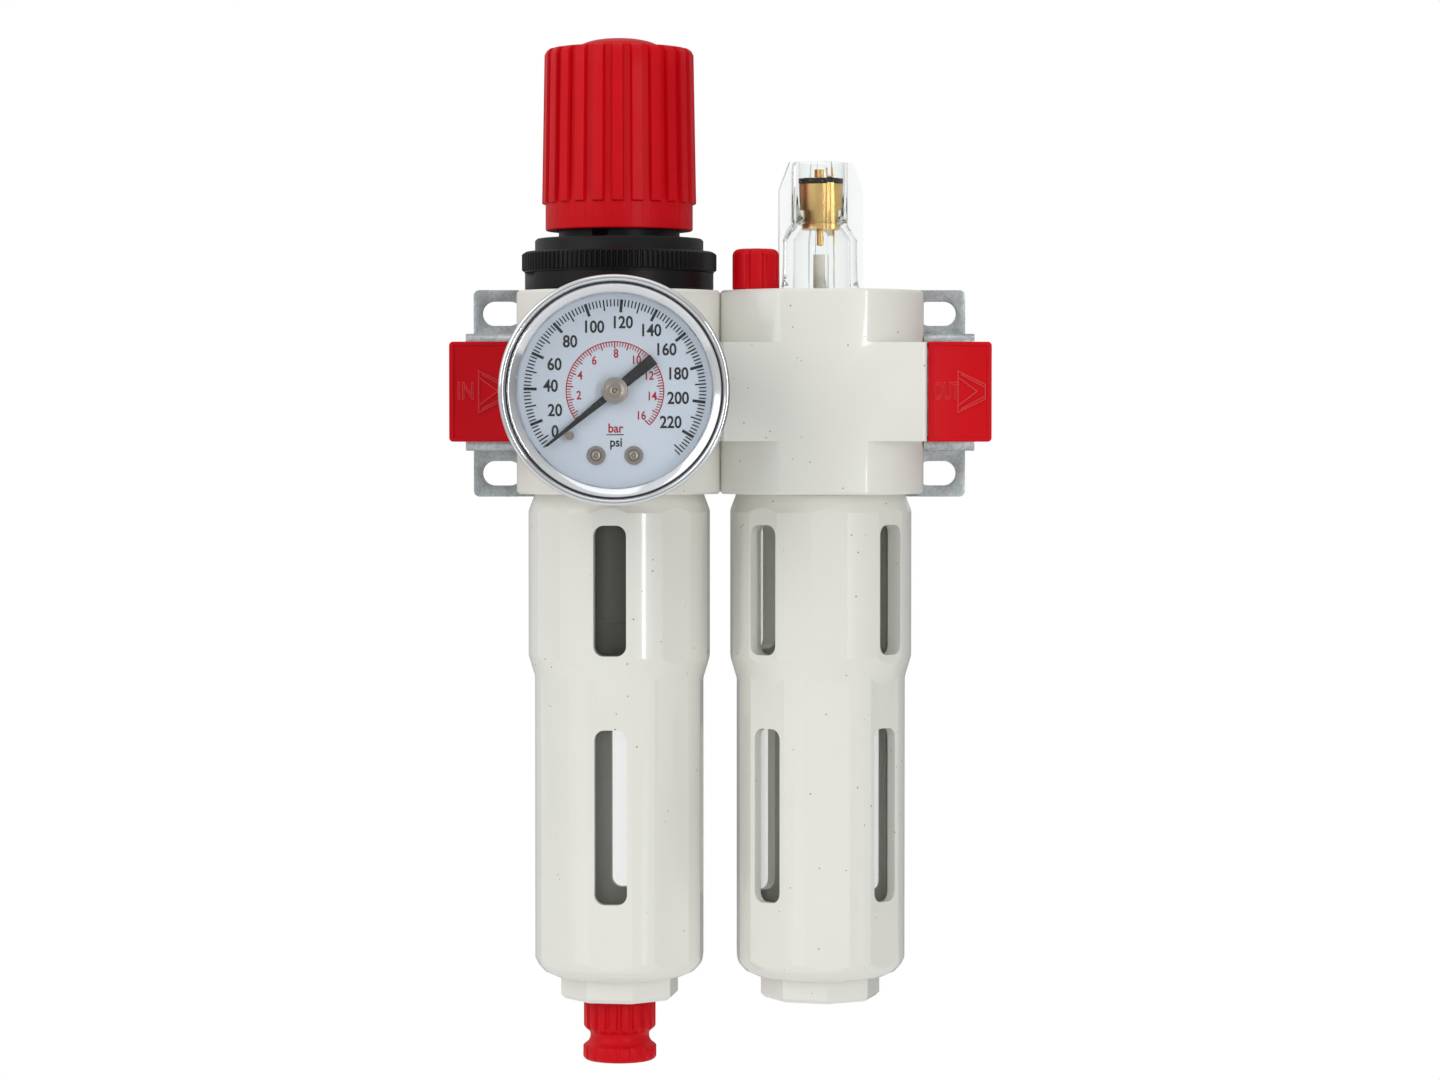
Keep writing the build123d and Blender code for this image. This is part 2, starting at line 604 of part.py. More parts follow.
def lubricator_parts():
    save("sight_dome", on_module(LUBRICATOR_X, sight_dome()))

    valve = lathe(
        (0, 32.2), (3.8, 32.2), (3.8, 33.4), (3.6, 33.4), (3.6, 35.9), (4.4, 35.9), (4.4, 41.2),
        (3.6, 41.2), (3.6, 42.4), (0, 42.4),
    )
    valve -= rod(0.95, 34.0, 43)
    valve -= rod(0.4, 32, 34.5)
    valve += tube(0.8, 0.4, 29.4, 32.3)
    save("feed_valve_body", on_module(LUBRICATOR_X, valve))
    seals = Compound([ring(6.0, 0.8, 14.1), tube(4.45, 3.6, 41.3, 42.3)])
    save("sight_dome_seals", on_module(LUBRICATOR_X, seals))
    screw = rod(0.9, 35.2, 42.6) + rod(1.3, 42.5, 44.1) - Pos(0, 0, 44.1) * Box(3, 0.4, 1.0)
    screw -= tube(2.0, 0.6, 38.95, 39.65)
    save("feed_needle_screw", on_module(LUBRICATOR_X, screw))
    save("feed_needle_seal", on_module(LUBRICATOR_X, tube(0.93, 0.62, 39.0, 39.6)))
    save("drip_nozzle", on_module(LUBRICATOR_X, tube(1.5, 0.8, 4.9, 27.5)))

    venturi = lathe((4.95, -7.0), (4.95, 7.0), (4.2, 7.0), (2.8, 1.5), (2.8, -1.5), (4.2, -7.0))
    venturi = Rot(0, 90, 0) * venturi - rod(1.6, 0.0, 6.0)
    save("venturi", on_module(LUBRICATOR_X, venturi))

    save("siphon_tube", on_module(LUBRICATOR_X, Pos(0, 8, 0) * tube(1.6, 0.9, -101.0, -4.4)))
    strainer = Pos(0, 8, 0) * (rod(2.8, -105.0, -98.5) - rod(1.6, -101.0, -98))
    save("siphon_strainer", on_module(LUBRICATOR_X, strainer))
    save("check_ball", on_module(LUBRICATOR_X, Pos(0, 8, 10.2) * Sphere(1.45)))

    plug = chamfer((Cylinder(4.65, 8.0)).faces().sort_by(Axis.Z)[-1].edges(), 1.2)
    for lobe in around(rod(0.9, -4.5, 4.5, 5.15), 8):
        plug -= lobe
    plug = Pos(0, 0, 24.1) * plug + rod(3.3, 13.2, 20.2)
    save("filler_plug", on_module(LUBRICATOR_X, Pos(-13, -8, 0) * plug))
    save("filler_seal", on_module(LUBRICATOR_X, Pos(-13, -8, 0) * rod(3.2, 12.2, 13.1)))


# ---------------------------------------------------------------- build
def build():
    save("regulator_body", on_module(REGULATOR_X, regulator_body()))
    save("lubricator_body", on_module(LUBRICATOR_X, lubricator_body()))
    ends()
    bowls()
    drain()
    filter_parts()
    regulator_parts()
    save("bonnet", on_module(REGULATOR_X, bonnet()))
    save("panel_nut", on_module(REGULATOR_X, panel_nut()))
    save("pressure_knob", on_module(REGULATOR_X, knob()))
    gauge()
    rear_plug()
    lubricator_parts()


build()
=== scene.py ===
"""Filter regulator lubricator: surfaces, print and finishes around its frame. In metres unless said."""
import json
from math import cos, pi, radians, sin, tau

import bmesh
import bpy
from mathutils import Matrix, Vector


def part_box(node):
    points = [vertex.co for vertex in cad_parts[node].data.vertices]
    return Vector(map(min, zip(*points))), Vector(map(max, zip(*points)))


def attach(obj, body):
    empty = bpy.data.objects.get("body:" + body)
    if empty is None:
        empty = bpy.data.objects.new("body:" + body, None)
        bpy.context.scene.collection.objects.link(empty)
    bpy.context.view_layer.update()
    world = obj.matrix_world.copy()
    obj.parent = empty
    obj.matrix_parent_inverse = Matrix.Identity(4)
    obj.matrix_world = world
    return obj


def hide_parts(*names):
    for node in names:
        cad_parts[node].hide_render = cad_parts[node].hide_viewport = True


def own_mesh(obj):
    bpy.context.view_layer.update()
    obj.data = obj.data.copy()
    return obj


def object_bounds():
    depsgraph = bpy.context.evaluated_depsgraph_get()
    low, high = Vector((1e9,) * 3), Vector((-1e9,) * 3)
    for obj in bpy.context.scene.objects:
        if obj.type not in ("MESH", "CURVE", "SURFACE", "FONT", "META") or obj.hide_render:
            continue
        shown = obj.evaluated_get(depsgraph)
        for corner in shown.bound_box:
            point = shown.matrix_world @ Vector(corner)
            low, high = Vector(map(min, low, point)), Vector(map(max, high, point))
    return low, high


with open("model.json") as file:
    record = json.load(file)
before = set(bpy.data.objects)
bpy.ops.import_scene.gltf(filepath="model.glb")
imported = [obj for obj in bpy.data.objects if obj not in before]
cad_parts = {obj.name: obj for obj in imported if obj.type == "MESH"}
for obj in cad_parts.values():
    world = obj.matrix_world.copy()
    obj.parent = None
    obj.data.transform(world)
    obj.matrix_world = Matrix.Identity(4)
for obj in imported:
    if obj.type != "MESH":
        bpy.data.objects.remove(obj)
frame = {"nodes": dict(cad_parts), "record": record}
CAD_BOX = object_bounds()

MM = 0.001
scene = bpy.context.scene


def middle(node):
    """Centre of a CAD node's box."""
    low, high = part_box(node)
    return (low + high) / 2


BODY_OF = {node: body for body, nodes in frame["record"]["behaviour"]["bodies"].items() for node in nodes}
SLOT_OF = {row["node"]: row["material_slot"] for row in frame["record"]["subparts"]}
REGULATOR_AXIS = middle("filter_guard").xy


# ---------------------------------------------------------------- node graphs
class Value:
    """A node output that can be written into sums."""

    def __init__(self, graph, socket):
        self.graph = graph
        self.socket = socket

    def math(self, operation, *others):
        return self.graph.math(operation, self, *others)

    def __add__(self, other):
        return self.math("ADD", other)

    def __sub__(self, other):
        return self.math("SUBTRACT", other)

    def __mul__(self, other):
        return self.math("MULTIPLY", other)

    def __truediv__(self, other):
        return self.math("DIVIDE", other)

    def __rsub__(self, other):
        return self.graph.math("SUBTRACT", other, self)


class Graph:
    """A node tree and the few ways its nodes are made."""

    def __init__(self, tree):
        self.tree = tree

    def node(self, kind, settings=None, sockets=None):
        """A node of a type: its settings first, then its sockets' values or links."""
        made = self.tree.nodes.new(kind)
        for key, value in (settings or {}).items():
            if key == "stops":
                self.set_stops(made.color_ramp, value)
            else:
                setattr(made, key, value)
        for key, value in (sockets or {}).items():
            self.feed(made.inputs[key], value)
        return made

    @staticmethod
    def set_stops(ramp, stops):
        while len(ramp.elements) < len(stops):
            ramp.elements.new(1.0)
        for element, (place, level) in zip(ramp.elements, stops):
            element.position = place
            element.color = (level, level, level, 1.0)

    def feed(self, socket, value):
        if isinstance(value, Value):
            self.tree.links.new(value.socket, socket)
        elif isinstance(value, bpy.types.NodeSocket):
            self.tree.links.new(value, socket)
        else:
            socket.default_value = value

    def value(self, kind, settings=None, sockets=None, out=0):
        return Value(self, self.node(kind, settings, sockets).outputs[out])

    def math(self, operation, *terms):
        return self.value("ShaderNodeMath", {"operation": operation}, dict(enumerate(terms)))

    def mix(self, factor, first, second):
        """Colour mix."""
        made = self.node("ShaderNodeMix", {"data_type": "RGBA"})
        self.feed(made.inputs[0], factor)
        self.feed(made.inputs[6], first)
        self.feed(made.inputs[7], second)
        return Value(self, made.outputs[2])


class Finish(Graph):
    """A surface material. Patterns read Object coordinates, in metres."""

    def __init__(self, name, **fixed):
        self.material = bpy.data.materials.new(name)
        self.material.use_nodes = True
        super().__init__(self.material.node_tree)
        self.surface = self.tree.nodes["Principled BSDF"]
        for key, value in fixed.items():
            self.set(key.replace("_", " "), value)
        self.place = self.value("ShaderNodeTexCoord", out="Object")

    def set(self, socket, value):
        self.feed(self.surface.inputs[socket], value)

    def noise(self, grain, detail=3.0, rough=0.55, stretch=None):
        """Soft noise with features of about `grain` metres."""
        where = self.place
        if stretch:
            where = self.value("ShaderNodeMapping", None, {"Vector": self.place, "Scale": stretch})
        return self.value(
            "ShaderNodeTexNoise", None,
            {"Vector": where, "Scale": 1.0 / grain, "Detail": detail, "Roughness": rough})

    def cells(self, grain, out=0):
        """Voronoi cells of about `grain` metres: distance to the middle, or a colour to each cell."""
        return self.value(
            "ShaderNodeTexVoronoi", None, {"Vector": self.place, "Scale": 1.0 / grain}, out)

    def ramp(self, value, *stops):
        """Grey ramp through (place, level) stops."""
        return self.value("ShaderNodeValToRGB", {"stops": stops}, {"Fac": value})

    def bump(self, height, depth, strength=1.0):
        """Relief of a depth in metres."""
        bump = self.node(
            "ShaderNodeBump", None, {"Height": height, "Strength": strength, "Distance": depth})
        self.feed(self.surface.inputs["Normal"], bump.outputs[0])


def rgb(red, green, blue):
    """Colour from screen values of 0 to 255, in scene-linear numbers."""
    return tuple(((c / 255.0 + 0.055) / 1.055) ** 2.4 if c > 10 else c / 255.0 / 12.92
                 for c in (red, green, blue)) + (1.0,)


# ---------------------------------------------------------------- finishes
def cream_paint():
    """Glossy enamel with orange peel and a few dark specks."""
    f = Finish("cream_paint", Specular_IOR_Level=0.5, Coat_Roughness=0.08)
    cloud = f.noise(18 * MM, 2.0)
    specks = f.ramp(f.cells(2.1 * MM), (0.07, 1.0), (0.1, 0.0))
    sparse = f.ramp(f.noise(3.4 * MM, 1.0), (0.56, 0.0), (0.6, 1.0))
    colour = f.mix(cloud, rgb(232, 232, 225), rgb(227, 227, 219))
    f.set("Base Color", f.mix(specks * sparse * 0.8, colour, rgb(120, 108, 90)))
    f.set("Roughness", f.noise(5 * MM) * 0.1 + 0.26)
    f.set("Coat Weight", cloud * 0.15 + 0.6)
    peel = f.noise(2.6 * MM, 1.0) + specks * sparse * 0.2
    f.bump(peel, 0.03 * MM, 0.8)
    return f.material


def moulded(name, colour, dark, rough, sheen=0.5):
    """Moulded plastic with faint scuffs and a fine grain."""
    f = Finish(name, Specular_IOR_Level=sheen)
    cloud = f.noise(9 * MM, 3.0)
    scuff = f.ramp(f.noise(2.4 * MM, 5.0, 0.7, (1.0, 1.0, 0.25)), (0.58, 0.0), (0.75, 1.0))
    f.set("Base Color", f.mix(cloud * 0.7 + scuff * 0.25, colour, dark))
    f.set("Roughness", f.noise(3 * MM) * 0.14 + scuff * 0.1 + rough)
    f.bump(f.noise(0.45 * MM, 2.0), 0.012 * MM, 0.6)
    return f.material


def zinc_plate():
    """Plated sheet: spangle, grit and a faint coloured film."""
    f = Finish("zinc_plate", Specular_IOR_Level=0.5)
    tone = f.value("ShaderNodeSeparateColor", None, {"Color": f.cells(3.2 * MM, "Color")})
    cloud = f.noise(4 * MM, 4.0)
    grit = f.ramp(f.noise(0.7 * MM, 4.0, 0.7), (0.44, 0.0), (0.66, 1.0))
    film = f.ramp(f.noise(7 * MM, 2.0), (0.46, 0.0), (0.68, 1.0))
    plain = f.mix(tone, rgb(188, 196, 198), rgb(210, 216, 217))
    tinted = f.mix(film * 0.4, plain, rgb(186, 160, 170))
    f.set("Base Color", f.mix(cloud * 0.3 + grit * 0.4, tinted, rgb(112, 120, 124)))
    f.set("Metallic", cloud * 0.2 + 0.75)
    f.set("Roughness", cloud * 0.2 + tone * 0.08 + grit * 0.12 + 0.16)
    f.bump(cloud + grit * 0.5, 0.02 * MM, 0.7)
    return f.material


def metal(name, colour, dark, rough, spread=0.1):
    """Bare or plated metal with fine marks."""
    f = Finish(name, Metallic=1.0)
    lines = f.noise(0.5 * MM, 3.0, 0.6)
    cloud = f.noise(5 * MM, 3.0)
    f.set("Base Color", f.mix(cloud * 0.6 + lines * 0.3, colour, dark))
    f.set("Roughness", lines * spread + cloud * spread * 0.5 + rough)
    f.bump(lines, 0.006 * MM, 0.5)
    return f.material


def rubber():
    f = Finish("rubber_black", Specular_IOR_Level=0.35)
    cloud = f.noise(4 * MM)
    f.set("Base Color", f.mix(cloud, rgb(32, 32, 33), rgb(52, 51, 50)))
    f.set("Roughness", cloud * 0.2 + 0.5)
    f.bump(f.noise(0.3 * MM), 0.01 * MM)
    return f.material


def dial_face():
    """Pale blue enamelled dial."""
    f = Finish("dial_face", Specular_IOR_Level=0.3)
    cloud = f.noise(14 * MM, 2.0)
    f.set("Base Color", f.mix(cloud, rgb(203, 213, 225), rgb(195, 206, 219)))
    f.set("Roughness", f.noise(1.2 * MM) * 0.1 + 0.42)
    f.bump(f.noise(0.35 * MM), 0.004 * MM, 0.5)
    return f.material


def print_ink(name, colour, dark):
    """Matt printed ink."""
    f = Finish(name, Specular_IOR_Level=0.15)
    cloud = f.noise(1.5 * MM, 4.0)
    f.set("Base Color", f.mix(cloud, colour, dark))
    f.set("Roughness", cloud * 0.15 + 0.5)
    return f.material


def clear(name, tint, least, edge, rough=0.04):
    """Clear plastic: nearly invisible face on, denser where it is seen edge on, and painted grey there as
    shade.
    """
    f = Finish(name, Specular_IOR_Level=0.6, IOR=1.49)
    facing = f.value("ShaderNodeLayerWeight", None, {"Blend": 0.35}, out="Facing")
    cloud = f.noise(8 * MM, 3.0)
    haze = f.ramp(f.noise(1.4 * MM, 6.0, 0.7), (0.6, 0.0), (0.85, 1.0))
    # The colour turns grey where the surface is seen edge on: painted shade for the dark edges that
    # refraction gives clear plastic.
    f.set("Base Color", f.mix(facing, tint, rgb(128, 134, 134)))
    f.set("Roughness", haze * 0.1 + cloud * 0.03 + rough)
    f.set("Alpha", facing.math("POWER", 2.2) * edge + haze * 0.02 + least)
    f.bump(cloud, 0.05 * MM, 0.4)
    f.material.surface_render_method = "BLENDED"
    return f.material


def dome_plastic():
    """Solid clear plastic that bends the light, with faint moulding waves and painted grey shade where it is
    seen edge on.
    """
    f = Finish("dome_clear", Transmission_Weight=1.0, IOR=1.16, Specular_IOR_Level=1.0)
    cloud = f.noise(6 * MM, 2.0)
    facing = f.value("ShaderNodeLayerWeight", None, {"Blend": 0.3}, out="Facing")
    plain = f.mix(cloud, rgb(250, 252, 251), rgb(244, 247, 246))
    # Grey where the surface is seen edge on: painted shade that outlines the dome's fins and edges.
    f.set("Base Color", f.mix(facing.math("POWER", 2.2), plain, rgb(118, 123, 123)))
    f.set("Roughness", cloud * 0.02 + 0.01)
    f.bump(cloud, 0.01 * MM, 0.2)
    return f.material


def filter_media():
    """Sintered grains."""
    f = Finish("filter_media", Specular_IOR_Level=0.2)
    grains = f.cells(0.45 * MM)
    f.set("Base Color", f.mix(grains, rgb(226, 220, 206), rgb(178, 170, 152)))
    f.set("Roughness", grains * 0.2 + 0.75)
    f.bump(grains, 0.15 * MM)
    return f.material


FINISH = {
    "cream_paint": cream_paint(),
    "red_plastic": moulded("red_plastic", rgb(210, 6, 22), rgb(188, 3, 17), 0.34, sheen=0.14),
    "black_plastic": moulded("black_plastic", rgb(13, 12, 13), rgb(22, 21, 21), 0.34, sheen=0.2),
    "zinc_plate": zinc_plate(),
    "steel": metal("steel", rgb(190, 190, 192), rgb(140, 140, 144), 0.22),
    "gauge_case_black": moulded("gauge_case_black", rgb(30, 30, 31), rgb(44, 44, 45), 0.25),
    "chrome": metal("chrome", rgb(226, 228, 230), rgb(206, 208, 212), 0.05, spread=0.05),
    "screw_steel": metal("screw_steel", rgb(176, 168, 160), rgb(132, 124, 116), 0.25),
    "dial_face": dial_face(),
    "pointer_black": print_ink("pointer_black", rgb(14, 14, 15), rgb(24, 24, 25)),
    "brass": metal("brass", rgb(224, 190, 128), rgb(184, 142, 84), 0.24),
    "rubber_black": rubber(),
    # The pale tint kept at 0.07 opacity face on is partly the bowl's own haze and partly painted light that
    # lifts the dim inside of the guard behind it.
    "clear_bowl": clear("clear_bowl", rgb(232, 234, 222), 0.07, 0.5),
    "white_nylon": moulded("white_nylon", rgb(226, 222, 210), rgb(208, 202, 188), 0.35),
    "filter_media": filter_media(),
}
INK_BLACK = print_ink("ink_black", rgb(16, 16, 18), rgb(34, 34, 38))
INK_RED = print_ink("ink_red", rgb(176, 18, 28), rgb(156, 16, 26))
# Lighter red than the covers' own plastic: painted highlight on the raised word and arrow.
RED_PAINTED_HIGHLIGHT = moulded("red_edge", rgb(218, 42, 50), rgb(202, 30, 38), 0.3)
DOME_CLEAR = dome_plastic()
RING_STEEL = metal("ring_steel", rgb(238, 240, 243), rgb(222, 224, 228), 0.08, spread=0.04)
LENS_CLEAR = clear("lens_clear", rgb(245, 248, 250), 0.02, 0.25, 0.02)


# ---------------------------------------------------------------- mesh helpers
CORNER = 34.0                      # an edge bent further than this many degrees is a corner
COPLANAR = 0.4                     # and one bent less than this is no edge at all
BEVEL_STEPS = 3
WELD = 2e-6                        # points nearer than this are one point
SEAM = 1e-6
SLIVER = 1e-7


def add_object(name, mesh):
    made = bpy.data.objects.new(name, mesh)
    scene.collection.objects.link(made)
    return made


def shade(mesh, angle):
    """Shade smooth up to an angle in degrees."""
    mesh.polygons.foreach_set("use_smooth", [True] * len(mesh.polygons))
    mesh.set_sharp_from_angle(angle=radians(angle))
    mesh.update()


def close_seams(mesh, angle):
    """Weld the seams, turn the faces outwards and shade."""
    work = bmesh.new()
    work.from_mesh(mesh)
    bmesh.ops.remove_doubles(work, verts=work.verts, dist=SEAM)
    bmesh.ops.recalc_face_normals(work, faces=work.faces)
    work.to_mesh(mesh)
    work.free()
    shade(mesh, angle)


def bake(piece):
    """Turn a piece with modifiers into a plain mesh piece of the same name."""
    graph = bpy.context.evaluated_depsgraph_get()
    mesh = bpy.data.meshes.new_from_object(piece.evaluated_get(graph))
    piece.modifiers.clear()
    piece.data = mesh
    return piece


def settle(piece, body, slot, *nodes):
    """Ride on a body and hide the CAD nodes that the piece stands for. The slot is not used."""
    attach(piece, body)
    if nodes:
        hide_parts(*nodes)


def skin(node, bevel=0.0, sharp=CORNER, finish=None, merge_flats=True):
    """A welded, smoothly shaded copy of a CAD node, with its corners broken, in place of it."""
    mesh = frame["nodes"][node].data.copy()
    mesh.materials.clear()
    mesh.materials.append(finish or FINISH[SLOT_OF[node]])
    work = bmesh.new()
    work.from_mesh(mesh)
    bmesh.ops.remove_doubles(work, verts=work.verts, dist=WELD)
    if merge_flats:
        bmesh.ops.dissolve_limit(
            work, angle_limit=radians(COPLANAR), verts=work.verts, edges=work.edges)
    work.to_mesh(mesh)
    work.free()
    piece = add_object(node + "_skin", mesh)
    if bevel:
        edge = piece.modifiers.new("edge", "BEVEL")
        edge.width = bevel
        edge.segments = BEVEL_STEPS
        edge.limit_method = "ANGLE"
        edge.angle_limit = radians(CORNER)
        edge.use_clamp_overlap = True
        bake(piece)
    shade(piece.data, sharp)
    settle(piece, BODY_OF[node], SLOT_OF[node], node)
    return piece


# ---------------------------------------------------------------- geometry trees
def new_tree(name, inputs):
    tree = bpy.data.node_groups.new(name, "GeometryNodeTree")
    tree.interface.new_socket("Geometry", in_out="INPUT", socket_type="NodeSocketGeometry")
    for label, kind in inputs:
        tree.interface.new_socket(label, in_out="INPUT", socket_type=kind)
    tree.interface.new_socket("Geometry", in_out="OUTPUT", socket_type="NodeSocketGeometry")
    graph = Graph(tree)
    return graph, graph.node("NodeGroupInput"), graph.node("NodeGroupOutput")


def finish_tree(graph, out, geometry, material):
    """Every tree ends in Realize Instances and Set Material."""
    real = graph.node("GeometryNodeRealizeInstances", None, {"Geometry": geometry})
    painted = graph.node(
        "GeometryNodeSetMaterial", None, {"Geometry": real.outputs[0], "Material": material})
    graph.feed(out.inputs[0], painted.outputs[0])
    return graph.tree


def around_tree():
    """Copies the piece's own mesh evenly about the Z axis through the origin and welds the seams."""
    graph, inp, out = new_tree("around_axis", (
        ("Count", "NodeSocketInt"), ("Weld", "NodeSocketFloat"), ("Finish", "NodeSocketMaterial")))
    points = graph.node("GeometryNodePoints", None, {"Count": inp.outputs["Count"]})
    index = graph.value("GeometryNodeInputIndex")
    count = Value(graph, inp.outputs["Count"])
    turn = graph.node("ShaderNodeCombineXYZ", None, {"Z": index * tau / count})
    spread = graph.node("GeometryNodeInstanceOnPoints", None, {
        "Points": points.outputs[0], "Instance": inp.outputs["Geometry"], "Rotation": turn.outputs[0]})
    real = graph.node("GeometryNodeRealizeInstances", None, {"Geometry": spread.outputs[0]})
    weld = graph.node("GeometryNodeMergeByDistance", None, {
        "Geometry": real.outputs[0], "Distance": inp.outputs["Weld"]})
    return finish_tree(graph, out, weld.outputs[0], inp.outputs["Finish"])


def marks_tree():
    """A run of printed marks along an arc in the XY plane, counted clockwise from +Y."""
    graph, inp, out = new_tree("dial_marks", (
        ("Count", "NodeSocketInt"), ("First", "NodeSocketFloat"), ("Step", "NodeSocketFloat"),
        ("Inner", "NodeSocketFloat"), ("Outer", "NodeSocketFloat"), ("Width", "NodeSocketFloat"),
        ("Thick", "NodeSocketFloat"), ("Finish", "NodeSocketMaterial")))
    first, step, inner, outer, width, thick = (
        Value(graph, inp.outputs[name]) for name in ("First", "Step", "Inner", "Outer", "Width", "Thick"))
    angle = first + graph.value("GeometryNodeInputIndex") * step
    mid = (inner + outer) * 0.5
    where = graph.node("ShaderNodeCombineXYZ", None, {
        "X": angle.math("SINE") * mid, "Y": angle.math("COSINE") * mid})
    points = graph.node("GeometryNodePoints", None, {
        "Count": inp.outputs["Count"], "Position": where.outputs[0]})
    size = graph.node("ShaderNodeCombineXYZ", None, {"X": width, "Y": outer - inner, "Z": thick})
    mark = graph.node("GeometryNodeMeshCube", None, {"Size": size.outputs[0]})
    turn = graph.node("ShaderNodeCombineXYZ", None, {"Z": 0.0 - angle})
    spread = graph.node("GeometryNodeInstanceOnPoints", None, {
        "Points": points.outputs[0], "Instance": mark.outputs[0], "Rotation": turn.outputs[0]})
    return finish_tree(graph, out, spread.outputs[0], inp.outputs["Finish"])


def grow(piece, tree, **inputs):
    """Run a tree on a piece and keep the result as its plain mesh."""
    modifier = piece.modifiers.new("grow", "NODES")
    modifier.node_group = tree
    ids = {item.name: item.identifier for item in tree.interface.items_tree if item.in_out == "INPUT"}
    for name, value in inputs.items():
        modifier[ids[name]] = value
    return bake(piece)


FLANK_STEPS = 3
AROUND = around_tree()
MARKS = marks_tree()


def sector_mesh(name, count, profile, wave):
    """One pitch of a turned surface. profile holds (radius, height, cut), wave (part of pitch, depth)."""
    pitch = tau / count
    verts, faces = [], []
    for part, depth in wave:
        for radius, height, cut in profile:
            r = radius - cut * depth
            verts.append((r * cos(part * pitch), r * sin(part * pitch), height))
    rows = len(profile)
    for i in range(len(wave) - 1):
        for j in range(rows - 1):
            a = i * rows + j
            faces.append((a, a + rows, a + rows + 1, a + 1))
    mesh = bpy.data.meshes.new(name)
    mesh.from_pydata(verts, [], faces)
    return mesh


def turned(name, node, count, profile, wave, place, angle, finish=None):
    """A ribbed or plain turned piece, or one to each place, for a CAD node. Profile in mm."""
    outline = [(r * MM, z * MM, cut * MM) for r, z, cut in profile]
    piece = add_object(name, sector_mesh(name, count, outline, wave))
    material = finish or FINISH[SLOT_OF[node]]
    grow(piece, AROUND, Count=count, Weld=WELD, Finish=material)
    work = bmesh.new()
    for spot in place if isinstance(place, tuple) else (place,):
        copy = piece.data.copy()
        copy.transform(spot)
        work.from_mesh(copy)
    bmesh.ops.dissolve_degenerate(work, dist=SLIVER, edges=work.edges)
    work.to_mesh(piece.data)
    work.free()
    close_seams(piece.data, angle)
    settle(piece, BODY_OF[node], SLOT_OF[node], node)
    return piece


def upright(axis):
    """Place for a piece turned about a vertical axis at x, y."""
    return Matrix.Translation((axis[0], axis[1], 0.0))


def plain_wave(samples):
    """One pitch of a surface with no ribs."""
    return [(i / samples, 0.0) for i in range(samples + 1)]


def arc(centre, radius, first, last, steps, cut=0.0):
    """Round stretch of a profile, angles in degrees from +r towards +z."""
    points = []
    for i in range(steps + 1):
        angle = radians(first + (last - first) * i / steps)
        points.append((centre[0] + radius * cos(angle), centre[1] + radius * sin(angle), cut))
    return points


def rib_wave(land, flank):
    """Depth over one pitch: 0 on a rib, 1 in a groove, with rounded flanks. Shares are of the pitch."""
    half = land / 2
    wave = [(0.0, 0.0), (half * 0.6, 0.0)]
    for i in range(FLANK_STEPS + 1):
        t = i / FLANK_STEPS
        wave.append((half + flank * t, t * t * (3 - 2 * t)))
    wave.append((0.5, 1.0))
    mirrored = [(1.0 - part, depth) for part, depth in reversed(wave[:-1])]
    return wave + mirrored


# ---------------------------------------------------------------- turned and ribbed pieces
def pressure_knob():
    """Knob with 24 ribs above a plain skirt, hollow below, with a low domed crown."""
    low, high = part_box("pressure_knob")
    base = low.z / MM
    rib_low = base + 5.3
    top = base + 35.9
    crown = high.z / MM - 0.005
    profile = [(0.0, top - 4.1, 0), (2.6, top - 4.1, 0), (2.6, base + 17.0, 0), (4.6, base + 17.0, 0)]
    profile += [(4.6, top - 3.9, 0), (12.6, top - 3.9, 0), (12.6, base + 0.4, 0)]
    profile += arc((12.95, base + 0.35), 0.35, 180, 270, 3)
    profile += arc((14.25, base + 0.35), 0.35, 270, 360, 3)
    profile += [(14.6, rib_low - 0.12, 0), (14.72, rib_low - 0.04, 0.12), (15.1, rib_low, 0.5)]
    profile += [(15.27, rib_low + 0.15, 0.72), (15.28, rib_low + 0.5, 0.8)]
    length = top - rib_low
    for i in range(1, 9):
        profile.append((15.28 - 0.58 * i / 9, rib_low + (length - 1.2) * i / 8, 0.95))
    profile += [(14.6, top - 0.9, 0.95), (14.35, top - 0.4, 0.8), (13.9, top - 0.08, 0.4)]
    profile += [(13.4, top, 0.0), (9.1, top, 0), (8.75, top - 0.25, 0), (8.5, top - 0.2, 0)]
    for i in range(11):
        t = i / 10
        profile.append((8.3 * cos(t * pi / 2), top + (crown - top) * sin(t * pi / 2), 0))
    turned("knob_shell", "pressure_knob", 24, profile, rib_wave(0.5, 0.07), upright(REGULATOR_AXIS), 42.0)


def knurled_ring():
    """Nut with a fine straight knurl."""
    low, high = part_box("panel_nut")
    z0, z1 = low.z / MM, high.z / MM
    outer = (high.x - low.x) / 2 / MM
    profile = [(16.76, z0, 0), (outer - 0.5, z0, 0), (outer - 0.5, z0 + 0.25, 0)]
    profile += [(outer - 0.25, z0 + 0.3, 0.1), (outer, z0 + 0.55, 0.5), (outer, z1 - 0.55, 0.5)]
    profile += [(outer - 0.25, z1 - 0.3, 0.1), (outer - 0.5, z1 - 0.2, 0), (outer - 0.7, z1, 0)]
    profile += [(17.0, z1, 0), (16.76, z1 - 0.2, 0), (16.76, z0, 0)]
    wave = [(0.0, 0.0), (0.12, 0.0), (0.42, 1.0), (0.58, 1.0), (0.88, 0.0), (1.0, 0.0)]
    turned("knurled_ring", "panel_nut", 112, profile, wave, upright(REGULATOR_AXIS), 30.0)


